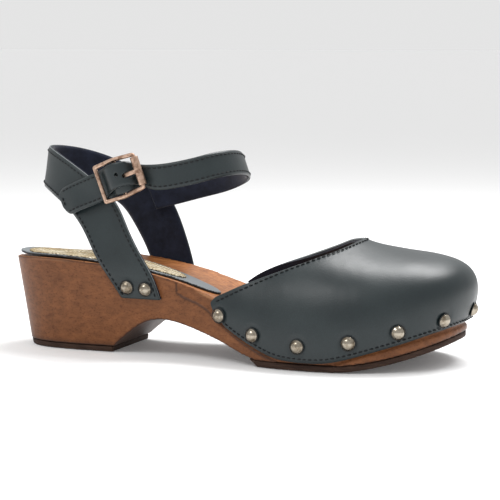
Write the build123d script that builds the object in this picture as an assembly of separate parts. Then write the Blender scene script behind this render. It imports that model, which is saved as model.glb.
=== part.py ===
"""Closed-toe wooden clog for the right foot, with a nailed vamp, a heel strap and a buckled ankle strap.

Frame: origin on the floor at the middle of the heel's bottom face, +X towards the toe, +Z up,
-Y towards the outer side of the foot. All lengths are in millimetres.
"""

import os
from math import cos, radians, sin, sqrt, tanh

from build123d import *

# ---- wooden sole ----
RUBBER_THICKNESS = 3.2
HEEL_RUBBER_THICKNESS = 3.0
REBATE_DEPTH = 1.0
FIT_GAP = 0.12
NAIL_RADIUS = 0.75
FACE_TOLERANCE = 0.06

# Plan outline of the wood at the footbed edge, walked from the back of the heel along the
# outer side to the toe and back along the inner side. Third number: how far the side leans
# in for each millimetre down from the footbed edge.
OUTLINE = [
    (-33.6, 0.0, 0.150),
    (-31.6, -10.0, 0.155),
    (-25.8, -20.2, 0.165),
    (-15.0, -28.0, 0.175),
    (2.0, -32.0, 0.180),
    (25.0, -33.0, 0.180),
    (50.0, -32.8, 0.150),
    (72.0, -33.8, 0.080),
    (92.0, -37.4, 0.040),
    (112.0, -42.8, 0.025),
    (132.0, -47.0, 0.020),
    (150.0, -47.7, 0.020),
    (168.0, -44.8, 0.020),
    (183.0, -38.0, 0.020),
    (195.5, -28.8, 0.020),
    (204.0, -17.0, 0.020),
    (208.2, -3.0, 0.020),
    (208.6, 10.0, 0.020),
    (204.6, 22.6, 0.020),
    (195.0, 34.2, 0.020),
    (181.5, 42.3, 0.020),
    (165.0, 46.0, 0.020),
    (148.0, 45.2, 0.020),
    (128.0, 40.6, 0.025),
    (108.0, 34.4, 0.040),
    (88.0, 29.6, 0.070),
    (68.0, 28.4, 0.120),
    (46.0, 30.2, 0.165),
    (22.0, 31.8, 0.180),
    (0.0, 31.2, 0.180),
    (-16.5, 27.0, 0.175),
    (-27.4, 17.8, 0.165),
    (-32.2, 9.0, 0.155),
]

# Height of the footbed edge at even steps along the shoe.
EDGE_START = -60.0
EDGE_STEP = 20.0
EDGE_HEIGHT = [
    49.2, 48.9, 48.3, 47.6, 46.2, 44.0, 40.6, 34.9, 28.0, 23.4, 21.6, 22.6, 26.2, 31.4, 37.2, 42.6,
]
FOOTBED_TILT = 0.035
CUP_DEPTH_HEEL = 2.6
CUP_DEPTH_FRONT = 1.2

# Underside of the wood, from the heel's front face over the arch to the toe.
BREAST = [
    (30.6, 3.0),
    (34.0, 6.2),
    (38.2, 9.6),
    (43.0, 13.2),
    (48.2, 16.4),
    (53.6, 18.4),
    (60.0, 19.1),
]
SHANK = [
    (60.0, 19.1),
    (66.0, 18.6),
    (76.0, 16.3),
    (86.0, 13.3),
    (97.5, 9.2),
    (106.0, 5.7),
    (113.0, 3.6),
    (118.0, 3.2),
]
TOE_SPRING = [
    (156.0, 3.2),
    (167.0, 4.2),
    (178.0, 6.3),
    (189.0, 9.2),
    (200.0, 12.8),
    (211.0, 17.0),
    (224.0, 22.6),
]
TREAD_START = 110.0
TREAD_START_HEIGHT = 4.2

# Lower edge of the step cut in the wood's side for the vamp.
REBATE_PATH = [
    (68.5, 33.6),
    (73.5, 31.0),
    (80.0, 29.0),
    (86.0, 26.0),
    (92.0, 21.0),
    (100.0, 15.2),
    (108.0, 10.6),
    (117.0, 6.4),
    (128.0, 2.6),
    (142.0, 1.6),
    (154.0, 2.6),
    (165.0, 6.2),
    (178.0, 10.0),
    (190.0, 13.6),
    (201.0, 16.8),
    (212.0, 19.2),
    (232.0, 22.0),
]

# ---- straps ----
LEATHER = 1.5
LINING = 0.9
STRAP_LINING_GAP = 0.06
FLEX_X = 31.0
FLEX_Z = 63.0
FLEX_RADIUS = 15.5
FLEX_GAP = 0.4

# Heel strap, one row per station from the outer foot round the back to the inner foot:
# front or top edge, then rear or bottom edge, as points on the seam between leather and lining.
HEEL_STRAP = [
    ((60.4, -33.0, 29.8), (38.6, -32.1, 30.0)),
    ((56.4, -34.45, 41.5), (31.4, -34.0, 41.5)),
    ((50.4, -34.4, 51.5), (25.2, -34.0, 50.5)),
    ((42.6, -33.4, 65.0), (18.8, -32.4, 61.8)),
    ((34.6, -31.4, 78.6), (10.6, -29.4, 71.4)),
    ((19.6, -28.2, 90.6), (-0.2, -23.2, 78.0)),
    ((4.4, -21.6, 98.4), (-9.8, -14.6, 82.0)),
    ((-8.2, -12.0, 103.0), (-15.4, -7.2, 83.6)),
    ((-14.4, 0.0, 104.6), (-17.2, 0.0, 84.2)),
    ((-8.2, 12.0, 103.4), (-15.4, 7.2, 83.8)),
    ((4.4, 21.6, 99.2), (-9.8, 14.6, 82.4)),
    ((19.6, 27.4, 91.8), (-0.2, 22.8, 79.0)),
    ((35.2, 30.6, 80.4), (10.6, 28.6, 72.6)),
    ((43.6, 32.2, 66.4), (17.4, 31.4, 63.0)),
    ((48.6, 32.8, 52.0), (23.6, 32.9, 51.0)),
    ((52.2, 32.2, 40.0), (28.4, 32.9, 40.0)),
    ((55.0, 30.0, 28.2), (34.4, 30.6, 28.4)),
]

# Buckle frame placement: centre and the in-plane turn of the long direction above the horizontal.
BUCKLE_AT = (40.4, -38.6, 91.3)
BUCKLE_TURN = 20.5
BAR_OFFSET = 11.1
BAR_RADIUS = 1.1
FRAME_HALF_LEFT = 9.2
FRAME_HALF_MIDDLE = 9.7
FRAME_HALF_RIGHT = 8.6
CENTRE_BAR_U = -0.5
CENTRE_BAR_DROP = 1.0
CENTRE_BAR_RADIUS = 0.95
ROLLER_RADIUS = 2.1
ROLLER_BORE_CLEARANCE = 0.08
ROLLER_LENGTH = 14.6
PRONG_WIDTH = 2.2

# Ankle strap where it is threaded through the buckle: along the frame, lower edge, upper edge,
# height of the strap's inner face over the frame's middle plane.
THREADED = [
    (-15.2, -7.9, 6.9, -3.5),
    (-11.1, -6.8, 7.1, -3.7),
    (-7.4, -5.6, 7.4, -1.7),
    (-4.0, -4.9, 7.7, 1.2),
    (0.0, -4.7, 7.9, 2.2),
    (3.6, -5.0, 7.4, 1.6),
    (6.3, -6.0, 6.2, -1.4),
    (8.6, -7.7, 4.6, -4.3),
    (12.0, -10.0, 2.7, -5.0),
]

# Ankle strap tail behind the buckle, from the tip: upper edge, then lower edge.
TAIL = [
    ((0.8, -25.5, 82.5), (8.2, -30.4, 70.2)),
    ((6.4, -28.2, 85.2), (12.9, -32.6, 72.1)),
    ((12.6, -30.8, 87.9), (18.4, -34.2, 74.4)),
]

# Ankle strap from the buckle round the front of the ankle to the inner side of the heel strap.
WRAP = [
    ((59.0, -34.2, 98.3), (61.0, -34.3, 85.4)),
    ((68.0, -33.2, 99.6), (70.6, -33.5, 86.9)),
    ((77.6, -30.4, 101.8), (80.4, -30.9, 89.2)),
    ((84.2, -25.4, 103.8), (87.4, -26.1, 91.3)),
    ((88.8, -17.4, 104.6), (92.4, -18.1, 92.4)),
    ((90.6, -7.4, 104.2), (94.4, -7.8, 92.1)),
    ((89.6, 3.4, 102.4), (93.6, 3.4, 90.3)),
    ((85.6, 13.2, 99.4), (90.0, 13.4, 87.4)),
    ((78.4, 20.8, 95.8), (82.8, 21.2, 84.0)),
    ((68.6, 25.6, 92.2), (73.0, 26.0, 80.4)),
    ((55.0, 28.0, 88.4), (59.6, 28.4, 76.8)),
    ((41.0, 28.2, 84.6), (45.6, 28.9, 73.0)),
    ((28.4, 26.6, 81.4), (33.0, 27.6, 69.8)),
]

# ---- vamp ----
VAMP_LEATHER = 1.8
VAMP_LINING = 0.9
VAMP_GAP = 0.6

# One row per rib of the vamp, from its outer rear tip round the toe to its inner rear tip:
# point on the wood's outline (x, y), height of the bottom edge, topline point (x, y, z),
# rise and outward lean of the first control point, outward reach and height of the shoulder,
# then the inward reach and height of the last control point before the topline.
VAMP_RIBS = [
    ((90.6, -37.0), 24.6, (88.0, -36.8, 31.6), (2.0, 0.1), (0.6, 28.2), (0.3, 30.2)),
    ((98.0, -38.9), 18.4, (96.4, -38.4, 35.4), (4.0, 0.1), (1.1, 26.4), (0.8, 31.4)),
    ((107.0, -41.4), 13.2, (105.6, -38.0, 39.8), (7.0, 0.2), (1.5, 28.0), (1.8, 34.6)),
    ((116.5, -44.0), 8.8, (114.6, -36.2, 43.6), (10.0, 0.2), (1.9, 30.4), (3.6, 38.8)),
    ((127.0, -46.3), 5.4, (124.2, -33.8, 47.4), (13.0, 0.1), (2.0, 32.6), (6.2, 43.4)),
    ((139.0, -47.7), 4.3, (134.0, -30.4, 51.2), (14.5, 0.3), (2.6, 34.6), (9.0, 47.4)),
    ((152.0, -47.5), 4.7, (142.6, -25.4, 54.6), (15.5, 0.4), (3.0, 37.4), (12.6, 50.0)),
    ((165.0, -45.5), 7.6, (149.0, -18.8, 57.2), (16.0, 0.5), (3.2, 42.0), (16.0, 50.8)),
    ((177.0, -41.4), 11.2, (153.0, -11.6, 59.0), (16.5, 0.8), (3.4, 47.6), (19.6, 50.4)),
    ((188.0, -34.9), 14.6, (155.0, -5.4, 60.2), (17.0, 1.8), (5.4, 52.0), (22.4, 49.4)),
    ((197.2, -27.0), 17.6, (156.0, -0.6, 60.8), (17.0, 4.6), (8.0, 56.8), (24.4, 48.6)),
    ((204.4, -16.2), 19.8, (156.2, 2.6, 61.0), (17.0, 6.6), (9.8, 61.2), (25.4, 48.4)),
    ((208.2, -3.0), 20.8, (156.0, 5.0, 61.0), (17.0, 8.0), (10.8, 63.6), (25.4, 48.8)),
    ((208.6, 10.0), 20.8, (155.2, 7.4, 61.0), (17.0, 8.0), (10.4, 63.4), (24.6, 49.2)),
    ((204.6, 22.6), 19.6, (153.6, 10.4, 60.8), (17.0, 6.2), (8.8, 61.0), (22.8, 49.8)),
    ((195.0, 34.2), 17.0, (150.4, 14.6, 60.2), (17.0, 4.0), (6.2, 56.2), (20.4, 50.8)),
    ((181.5, 42.3), 12.8, (144.6, 19.8, 58.8), (16.5, 1.8), (4.2, 50.0), (17.0, 51.8)),
    ((167.0, 46.0), 8.4, (136.6, 24.4, 55.6), (16.0, 0.6), (3.2, 44.0), (13.0, 51.2)),
    ((152.0, 45.7), 4.9, (127.4, 28.2, 52.0), (15.0, 0.4), (3.0, 38.4), (9.4, 48.8)),
    ((136.0, 42.9), 4.6, (117.6, 30.6, 48.4), (13.0, 0.2), (2.4, 34.4), (6.0, 45.4)),
    ((122.0, 38.8), 7.4, (108.0, 32.0, 44.8), (10.0, 0.2), (2.1, 31.6), (3.4, 40.8)),
    ((108.0, 34.4), 12.6, (98.6, 31.8, 41.0), (7.0, 0.2), (1.5, 28.8), (1.8, 36.2)),
    ((97.0, 31.5), 18.6, (90.6, 30.8, 37.0), (4.0, 0.1), (1.2, 27.6), (0.8, 33.2)),
    ((89.0, 29.8), 26.2, (84.8, 29.8, 33.0), (2.0, 0.1), (0.7, 29.0), (0.3, 31.4)),
]

# ---- nails ----
DOME_RADIUS = 3.4
DOME_HEIGHT = 2.3
VAMP_NAIL_LENGTH = 11.0
STRAP_NAIL_LENGTH = 12.0
# Rib position and height of each vamp nail, from the outer rear tip round the toe.
VAMP_NAILS = [
    (0.50, 24.0),
    (2.72, 15.9),
    (4.95, 12.2),
    (6.88, 14.9),
    (8.74, 20.0),
    (10.66, 24.6),
    (12.60, 27.0),
    (14.00, 25.8),
    (15.40, 22.2),
    (16.75, 17.2),
    (18.20, 12.8),
    (19.90, 14.4),
    (22.10, 22.6),
]
HEEL_STRAP_NAILS = [(42.2, 35.4), (52.2, 34.9)]
HEEL_STRAP_NAILS_INNER = [(39.4, 34.0), (49.2, 33.8)]

# ---- sock ----
SOCK_THICKNESS = 1.4
PATCH_THICKNESS = 0.7
SOCK_OUTLINE = [
    (-31.4, 0.0),
    (-29.0, -10.5),
    (-22.0, -20.6),
    (-10.0, -27.4),
    (12.0, -30.2),
    (36.0, -30.4),
    (56.0, -30.0),
    (74.0, -29.0),
    (84.0, -26.4),
    (88.0, -21.0),
    (85.0, -15.4),
    (76.0, -10.6),
    (66.0, -5.6),
    (54.0, 1.6),
    (40.0, 10.0),
    (22.0, 17.6),
    (4.0, 21.2),
    (-12.0, 19.8),
    (-24.0, 13.4),
]
PATCH_OUTLINE = [
    (-27.0, 0.0),
    (-24.0, -11.0),
    (-13.0, -21.0),
    (10.0, -26.0),
    (40.0, -26.6),
    (60.0, -26.0),
    (69.5, -21.0),
    (66.0, -12.0),
    (54.0, -3.0),
    (40.0, 6.0),
    (22.0, 14.0),
    (2.0, 17.4),
    (-14.0, 15.4),
    (-24.0, 9.0),
]


def natural_spline(rows):
    """Return a smooth function of the row number through rows of numbers."""
    count = len(rows)
    columns = list(zip(*rows))
    bends = []
    for column in columns:
        upper = [0.0] * count
        value = [0.0] * count
        for i in range(1, count - 1):
            pivot = 4.0 - upper[i - 1]
            upper[i] = 1.0 / pivot
            step = 6.0 * (column[i + 1] - 2.0 * column[i] + column[i - 1])
            value[i] = (step - value[i - 1]) / pivot
        bend = [0.0] * count
        for i in range(count - 2, 0, -1):
            bend[i] = value[i] - upper[i] * bend[i + 1]
        bends.append(bend)

    def at(position):
        i = min(max(int(position), 0), count - 2)
        t = position - i
        r = 1.0 - t
        result = []
        for column, bend in zip(columns, bends):
            line = r * column[i] + t * column[i + 1]
            curve = (r**3 - r) * bend[i] + (t**3 - t) * bend[i + 1]
            result.append(line + curve / 6.0)
        return result

    return at


EDGE_CURVE = natural_spline([(height,) for height in EDGE_HEIGHT])


def edge_height(x, y):
    """Height of the footbed's edge; the inner side lies a little lower."""
    return EDGE_CURVE((x - EDGE_START) / EDGE_STEP)[0] - FOOTBED_TILT * y


def footbed_height(x, y, lift=0.0):
    """Height of the dished footbed."""
    share = (1.0 + tanh((x - 65.0) / 30.0)) / 2.0
    depth = CUP_DEPTH_HEEL + (CUP_DEPTH_FRONT - CUP_DEPTH_HEEL) * share
    half_width = 32.0 + 14.0 * (1.0 + tanh((x - 95.0) / 25.0)) / 2.0
    return edge_height(x, y) - depth * (1.0 - (y / half_width) ** 2) + lift


def grid_face(point_at, first, second, columns, rows):
    """Smooth face through point_at(s, t) sampled over two ranges."""
    points = []
    for i in range(columns + 1):
        s = first[0] + (first[1] - first[0]) * i / columns
        line = []
        for j in range(rows + 1):
            t = second[0] + (second[1] - second[0]) * j / rows
            line.append(Vector(*point_at(s, t)))
        points.append(line)
    return Face.make_surface_from_array_of_points(points, tol=FACE_TOLERANCE, min_deg=3, max_deg=5)


def space_above_footbed(lift=0.0):
    """Solid that fills everything above the footbed surface raised by lift."""
    face = grid_face(lambda x, y: (x, y, footbed_height(x, y, lift)), (-60, 240), (-60, 60), 30, 8)
    return extrude(face, amount=90, dir=(0, 0, 1))


def outline_normal(index):
    """Outward direction of the plan outline at one of its points."""
    count = len(OUTLINE)
    before = OUTLINE[(index - 1) % count]
    after = OUTLINE[(index + 1) % count]
    along_x = after[0] - before[0]
    along_y = after[1] - before[1]
    length = sqrt(along_x**2 + along_y**2)
    return along_y / length, -along_x / length


def outline_wire(height, inset):
    """Closed outline of the wood's side surface at one height."""
    points = []
    for i, (x, y, lean) in enumerate(OUTLINE):
        normal_x, normal_y = outline_normal(i)
        shift = lean * (height - edge_height(x, y)) - inset
        points.append((x + normal_x * shift, y + normal_y * shift, height))
    return Wire([Spline(*points, periodic=True)])


def sole_blank(inset=0.0):
    """Tapering block with the sole's plan shape, higher and deeper than the finished wood."""
    return Solid.make_loft([outline_wire(-6.0, inset), outline_wire(64.0, inset)], ruled=True)


def profile_solid(edges, half_width=70.0):
    """Extrude a closed profile drawn in the XZ plane equally to both sides."""
    face = Face(Wire(edges))
    return extrude(face, amount=half_width, both=True)


def side_points(points):
    """Turn (x, z) pairs into points of the XZ plane."""
    return [(x, 0.0, z) for x, z in points]


def space_below_wood():
    """Everything under the finished wood: heel rubber, arch and tread."""
    heel_line = [(-70.0, HEEL_RUBBER_THICKNESS), BREAST[0]]
    edges = [
        Line(*side_points(heel_line)),
        Spline(*side_points(BREAST), tangents=((0.66, 0, 0.75), (1, 0, 0))),
        Spline(*side_points(SHANK), tangents=((1, 0, 0), (1, 0, 0))),
        Line(*side_points([SHANK[-1], TOE_SPRING[0]])),
        Spline(*side_points(TOE_SPRING), tangents=((1, 0, 0), (0.9, 0, 0.42))),
        Line(*side_points([TOE_SPRING[-1], (TOE_SPRING[-1][0], -40.0)])),
        Line(*side_points([(TOE_SPRING[-1][0], -40.0), (-70.0, -40.0)])),
        Line(*side_points([(-70.0, -40.0), heel_line[0]])),
    ]
    return profile_solid(edges)


def rebate_cutter():
    """Shallow step in the wood's side that lets the vamp sit almost flush."""
    first = REBATE_PATH[0]
    last = REBATE_PATH[-1]
    edges = [
        Spline(*side_points(REBATE_PATH)),
        Line(*side_points([last, (last[0], 80.0)])),
        Line(*side_points([(last[0], 80.0), (first[0], 80.0)])),
        Line(*side_points([(first[0], 80.0), first])),
    ]
    return profile_solid(edges) - sole_blank(REBATE_DEPTH)


def make_wood():
    """Wooden sole with its heel, before the nail holes."""
    return sole_blank() - space_below_wood() - space_above_footbed() - rebate_cutter()


def make_heel_rubber():
    """Flat rubber lift under the heel."""
    slab = Pos(-20.4, 0, HEEL_RUBBER_THICKNESS / 2 - FIT_GAP / 4)
    slab = slab * Box(100.0, 80.0, HEEL_RUBBER_THICKNESS - FIT_GAP / 2)
    return slab & sole_blank(0.3)


def make_tread():
    """Rubber sheet under the forefoot that follows the toe spring."""
    top_gap = FIT_GAP / 2
    upper = [(x, z - top_gap) for x, z in TOE_SPRING]
    lower = [(x, z - RUBBER_THICKNESS) for x, z in TOE_SPRING]
    flat = RUBBER_THICKNESS - top_gap
    heel_end = (SHANK[-1][0], flat)
    skived = [(TREAD_START, TREAD_START_HEIGHT), (SHANK[-2][0], SHANK[-2][1] - top_gap), heel_end]
    edges = [
        Spline(*side_points(skived), tangents=((1, 0, -0.26), (1, 0, 0))),
        Line(*side_points([heel_end, upper[0]])),
        Spline(*side_points(upper), tangents=((1, 0, 0), (0.9, 0, 0.42))),
        Line(*side_points([upper[-1], lower[-1]])),
        Spline(*side_points(lower[::-1]), tangents=((-0.9, 0, -0.42), (-1, 0, 0))),
        Line(*side_points([lower[0], (TREAD_START + 5.0, 0.0)])),
        Line(*side_points([(TREAD_START + 5.0, 0.0), skived[0]])),
    ]
    return profile_solid(edges) & sole_blank(0.5)


def sock_height(x, y, lift):
    """Sock surface: on the footbed, with its back edge curling up a little."""
    curl = 2.6 * min(max((-8.0 - x) / 24.0, 0.0), 1.0) ** 2
    side = 0.9 * min(max((40.0 - x) / 60.0, 0.0), 1.0) * (abs(y) / 30.0) ** 3
    return footbed_height(x, y, lift) + curl + side


def make_pad(outline, low, high):
    """Thin sheet with a plan outline, lying on the sock's surface between two lifts."""
    face = grid_face(lambda x, y: (x, y, sock_height(x, y, low)), (-50, 110), (-40, 40), 24, 8)
    slab = extrude(face, amount=high - low, dir=(0, 0, 1))
    plan = Face(Wire([Spline(*[(x, y, 0.0) for x, y in outline], periodic=True)]))
    return slab & extrude(plan, amount=90)


def subtract(a, b):
    return [p - q for p, q in zip(a, b)]


def cross(a, b):
    return [a[1] * b[2] - a[2] * b[1], a[2] * b[0] - a[0] * b[2], a[0] * b[1] - a[1] * b[0]]


def shifted(point_at, distance, s_range, t_range):
    """Return point_at moved along its surface normal; positive is outward."""
    s_step = (s_range[1] - s_range[0]) * 0.002
    t_step = (t_range[1] - t_range[0]) * 0.01

    def at(s, t):
        s_low = max(s - s_step, s_range[0])
        s_high = min(s + s_step, s_range[1])
        t_low = max(t - t_step, t_range[0])
        t_high = min(t + t_step, t_range[1])
        along = subtract(point_at(s_high, t), point_at(s_low, t))
        across = subtract(point_at(s, t_high), point_at(s, t_low))
        normal = cross(along, across)
        length = sqrt(sum(n * n for n in normal))
        point = point_at(s, t)
        return [p + n / length * distance for p, n in zip(point, normal)]

    return at


def shell(point_at, s_range, t_range, low, high, columns, rows):
    """Closed solid between two offsets of a surface."""
    inner = grid_face(shifted(point_at, low, s_range, t_range), s_range, t_range, columns, rows)
    outer = grid_face(shifted(point_at, high, s_range, t_range), s_range, t_range, columns, rows)
    faces = [inner, outer]
    for edge in inner.edges():
        middle = edge @ 0.5
        partner = min(outer.edges(), key=lambda other: (other @ 0.5 - middle).length)
        faces.append(Face.make_surface_from_curves(edge, partner))
    return Solid(Shell(faces)).fix()


def band(rows):
    """Surface of a strap from rows of two edge points; t runs from the lower edge to the upper."""
    upper = natural_spline([row[0] for row in rows])
    lower = natural_spline([row[1] for row in rows])

    def at(s, t):
        low = lower(s)
        high = upper(s)
        return [a + (b - a) * t for a, b in zip(low, high)]

    return at


def heel_rows():
    """Heel strap stations ordered so that the surface normal points away from the ankle."""
    return [(rear, front) for front, rear in HEEL_STRAP]


def flex_disc(radius):
    """Cylinder across the shoe on the line where the heel strap bends."""
    return Pos(FLEX_X, 0, FLEX_Z) * Rot(90, 0, 0) * Cylinder(radius, 160)


def below_flex(solid):
    """Part of a heel strap layer that stays nailed to the wood."""
    block = Pos(FLEX_X, 0, FLEX_Z - 60) * Box(160, 160, 120)
    return solid & (block - flex_disc(FLEX_RADIUS + FLEX_GAP))


def above_flex(solid):
    """Part of a heel strap layer that leans with the wearer's ankle."""
    block = Pos(FLEX_X, 0, FLEX_Z - 60) * Box(160, 160, 120)
    return solid - (block - flex_disc(FLEX_RADIUS))


def buckle_point(u, v, w):
    """Point given in the buckle's own directions: along, across, outward."""
    c = cos(radians(BUCKLE_TURN))
    s = sin(radians(BUCKLE_TURN))
    return (BUCKLE_AT[0] + u * c - v * s, BUCKLE_AT[1] - w, BUCKLE_AT[2] + u * s + v * c)


def buckle_place():
    """Location whose X is along the buckle, Y across it and Z outward."""
    c = cos(radians(BUCKLE_TURN))
    s = sin(radians(BUCKLE_TURN))
    plane = Plane(origin=BUCKLE_AT, x_dir=(c, 0, s), z_dir=(0, -1, 0))
    return plane.location


def ankle_rows():
    """All stations of the ankle strap: tail, threaded part, wrap round the ankle."""
    rows = list(TAIL)
    for u, low, high, w in THREADED:
        rows.append((buckle_point(u, high, w), buckle_point(u, low, w)))
    return rows + WRAP


def box_on_buckle(u, v, w, length, width, height):
    return buckle_place() * Pos(u, v, w) * Box(length, width, height)


def make_ankle_leather():
    """Outer leather of the ankle strap, with its prong slot, spare holes and rounded tip."""
    rows = ankle_rows()
    surface = band(rows)
    last = len(rows) - 1
    leather = shell(surface, (0, last), (0, 1), 0.0, LEATHER, 72, 4)
    slot = box_on_buckle(4.9, -0.1, 2.0, 6.6, 3.0, 14.0)
    leather = leather - slot
    spare = buckle_place() * Pos(0.4, 1.7, 4.0) * Cylinder(1.0, 6)
    return leather - spare


def make_ankle_lining():
    """Lining of the ankle strap, from just in front of the buckle to its stitched end."""
    rows = ankle_rows()
    first = len(TAIL) + len(THREADED) + 0.3
    last = len(rows) - 1
    surface = band(rows)
    return shell(surface, (first, last), (0, 1), -LINING, -STRAP_LINING_GAP, 40, 4)


def swept_bar(points, radius, corner):
    """Round bar along a polyline with rounded corners."""
    path = FilletPolyline(*points, radius=corner)
    start = Plane(origin=path @ 0, z_dir=path % 0)
    return sweep(start * Circle(radius), path=path)


def make_frame():
    """Buckle frame with its fixed centre bar; the roller bar is a straight pin."""
    left = -BAR_OFFSET
    right = BAR_OFFSET
    top = [(0.0, FRAME_HALF_MIDDLE, 0), (left, FRAME_HALF_LEFT, 0), (left, 0, 0)]
    low = [(0.0, -FRAME_HALF_MIDDLE, 0), (left, -FRAME_HALF_LEFT, 0), (left, 0, 0)]
    front_top = [(0.0, FRAME_HALF_MIDDLE, 0), (right, FRAME_HALF_RIGHT, 0), (right, 0, 0)]
    front_low = [(0.0, -FRAME_HALF_MIDDLE, 0), (right, -FRAME_HALF_RIGHT, 0), (right, 0, 0)]
    bars = [
        swept_bar(top, BAR_RADIUS, 0.3),
        swept_bar(low, BAR_RADIUS, 0.3),
        swept_bar(front_top, BAR_RADIUS, 1.2),
        swept_bar(front_low, BAR_RADIUS, 1.2),
    ]
    frame = bars[0] + bars[1] + bars[2] + bars[3]
    frame = frame + Pos(0, FRAME_HALF_MIDDLE, 0) * Sphere(BAR_RADIUS)
    frame = frame + Pos(0, -FRAME_HALF_MIDDLE, 0) * Sphere(BAR_RADIUS)
    for side in (-1, 1):
        lug = Pos(CENTRE_BAR_U, side * (FRAME_HALF_MIDDLE - 0.3), -CENTRE_BAR_DROP / 2)
        frame = frame + lug * Box(2.4, 1.5, 1.2 + CENTRE_BAR_DROP)
    bar = Pos(CENTRE_BAR_U, 0, -CENTRE_BAR_DROP) * Rot(90, 0, 0)
    frame = frame + bar * Cylinder(CENTRE_BAR_RADIUS, 2 * FRAME_HALF_MIDDLE)
    return buckle_place() * frame


def make_roller():
    """Roller sleeve that turns on the frame's front bar."""
    place = Pos(BAR_OFFSET, 0, 0) * Rot(90, 0, 0)
    sleeve = Cylinder(ROLLER_RADIUS, ROLLER_LENGTH) - Cylinder(BAR_RADIUS + ROLLER_BORE_CLEARANCE, 40)
    return buckle_place() * place * sleeve


def make_prong():
    """Prong: an eye round the centre bar and a tongue that rests on the roller."""
    tongue_top = [(-0.5, 0.9), (1.5, 1.15), (4.0, 1.95), (8.0, 3.0), (11.0, 3.35), (13.0, 2.75)]
    tongue_low = [(12.7, 2.35), (11.0, 2.35), (8.0, 2.05), (4.5, 1.0), (1.0, -0.2)]
    outline = Polyline(*[(u, w) for u, w in tongue_top + tongue_low + tongue_top[:1]])
    tongue = extrude(make_face(outline), amount=PRONG_WIDTH / 2, both=True)
    eye = Pos(CENTRE_BAR_U, -CENTRE_BAR_DROP, 0) * Cylinder(CENTRE_BAR_RADIUS + 1.05, PRONG_WIDTH)
    bore = Pos(CENTRE_BAR_U, -CENTRE_BAR_DROP, 0) * Cylinder(CENTRE_BAR_RADIUS + 0.06, 20)
    turned = Rot(90, 0, 0) * (eye + tongue - bore)
    return buckle_place() * turned


def make_tab():
    """Short leather tab that loops round the centre bar and is stitched to the heel strap."""
    inner = CENTRE_BAR_RADIUS + 0.35
    outer = inner + 1.0
    width = 12.0
    ring = Cylinder(outer, width) - Cylinder(inner, width + 2)
    ring = Pos(CENTRE_BAR_U, -CENTRE_BAR_DROP, 0) * ring
    leg = [
        (CENTRE_BAR_U + 0.6, -CENTRE_BAR_DROP - 2.2),
        (CENTRE_BAR_U - 1.9, -CENTRE_BAR_DROP - 1.0),
        (-6.0, -4.96),
        (-13.5, -4.95),
        (-13.5, -5.9),
        (-5.4, -5.9),
    ]
    outline = Polyline(*leg, leg[0])
    loop = ring + extrude(make_face(outline), amount=width / 2, both=True)
    loop = loop - Pos(CENTRE_BAR_U, -CENTRE_BAR_DROP, 0) * Cylinder(inner, width + 2)
    loop = loop - Box(12.0, 30.0, PRONG_WIDTH + 0.9)
    return buckle_place() * (Rot(90, 0, 0) * loop)


def rib_point():
    """Surface of the vamp leather's outer face as a function of rib number and height share."""
    rows = []
    for base, bottom, top, rise, shoulder, last in VAMP_RIBS:
        rows.append((*base, bottom, *top, *rise, *shoulder, *last))
    smooth = natural_spline(rows)

    def at(s, t):
        row = smooth(s)
        base_x, base_y, bottom, top_x, top_y, top_z = row[:6]
        rise, lean, reach, reach_z, last, last_z = row[6:]
        ahead = smooth(min(s + 0.02, len(rows) - 1.0))
        behind = smooth(max(s - 0.02, 0.0))
        along_x = ahead[0] - behind[0]
        along_y = ahead[1] - behind[1]
        length = sqrt(along_x**2 + along_y**2)
        out_x = along_y / length
        out_y = -along_x / length
        stand = VAMP_LEATHER - REBATE_DEPTH + VAMP_GAP
        rib_x = base_x - top_x
        rib_y = base_y - top_y
        rib_length = sqrt(rib_x**2 + rib_y**2)
        controls = [
            (base_x + out_x * stand, base_y + out_y * stand, bottom),
            (base_x + out_x * (stand + lean), base_y + out_y * (stand + lean), bottom + rise),
            (base_x + out_x * (stand + reach), base_y + out_y * (stand + reach), reach_z),
            (top_x + rib_x / rib_length * last, top_y + rib_y / rib_length * last, last_z),
            (top_x, top_y, top_z),
        ]
        r = 1.0 - t
        weights = [r**4, 4 * r**3 * t, 6 * r**2 * t**2, 4 * r * t**3, t**4]
        point = []
        for axis in range(3):
            point.append(sum(w * c[axis] for w, c in zip(weights, controls)))
        return point

    return at


def make_vamp_leather():
    """Outer leather of the closed toe."""
    last = len(VAMP_RIBS) - 1
    return shell(rib_point(), (0, last), (0, 1), -VAMP_LEATHER, 0.0, 69, 12)


def make_vamp_lining():
    """Lining glued inside the vamp above the footbed."""
    last = len(VAMP_RIBS) - 1
    outer = -VAMP_LEATHER - STRAP_LINING_GAP
    lining = shell(rib_point(), (0, last), (0, 1), outer - VAMP_LINING, outer, 69, 12)
    return lining & space_above_footbed(0.25)


def nail(place, length):
    """Domed nail whose shank points inward; the dome's flat side sits on the leather."""
    sphere_radius = (DOME_RADIUS**2 + DOME_HEIGHT**2) / (2 * DOME_HEIGHT)
    ball = Pos(0, 0, DOME_HEIGHT - sphere_radius) * Sphere(sphere_radius)
    dome = ball & (Pos(0, 0, 10) * Box(40, 40, 20))
    shank = Pos(0, 0, -length / 2) * Cylinder(NAIL_RADIUS, length)
    point = Pos(0, 0, -length - 0.75) * Rot(180, 0, 0) * Cone(NAIL_RADIUS, 0.1, 1.5)
    return place * (dome + shank + point)


def nail_hole(place, length):
    """Straight hole for a nail's shank."""
    return place * (Pos(0, 0, -length / 2) * Cylinder(NAIL_RADIUS + 0.03, length + 4.0))


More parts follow.
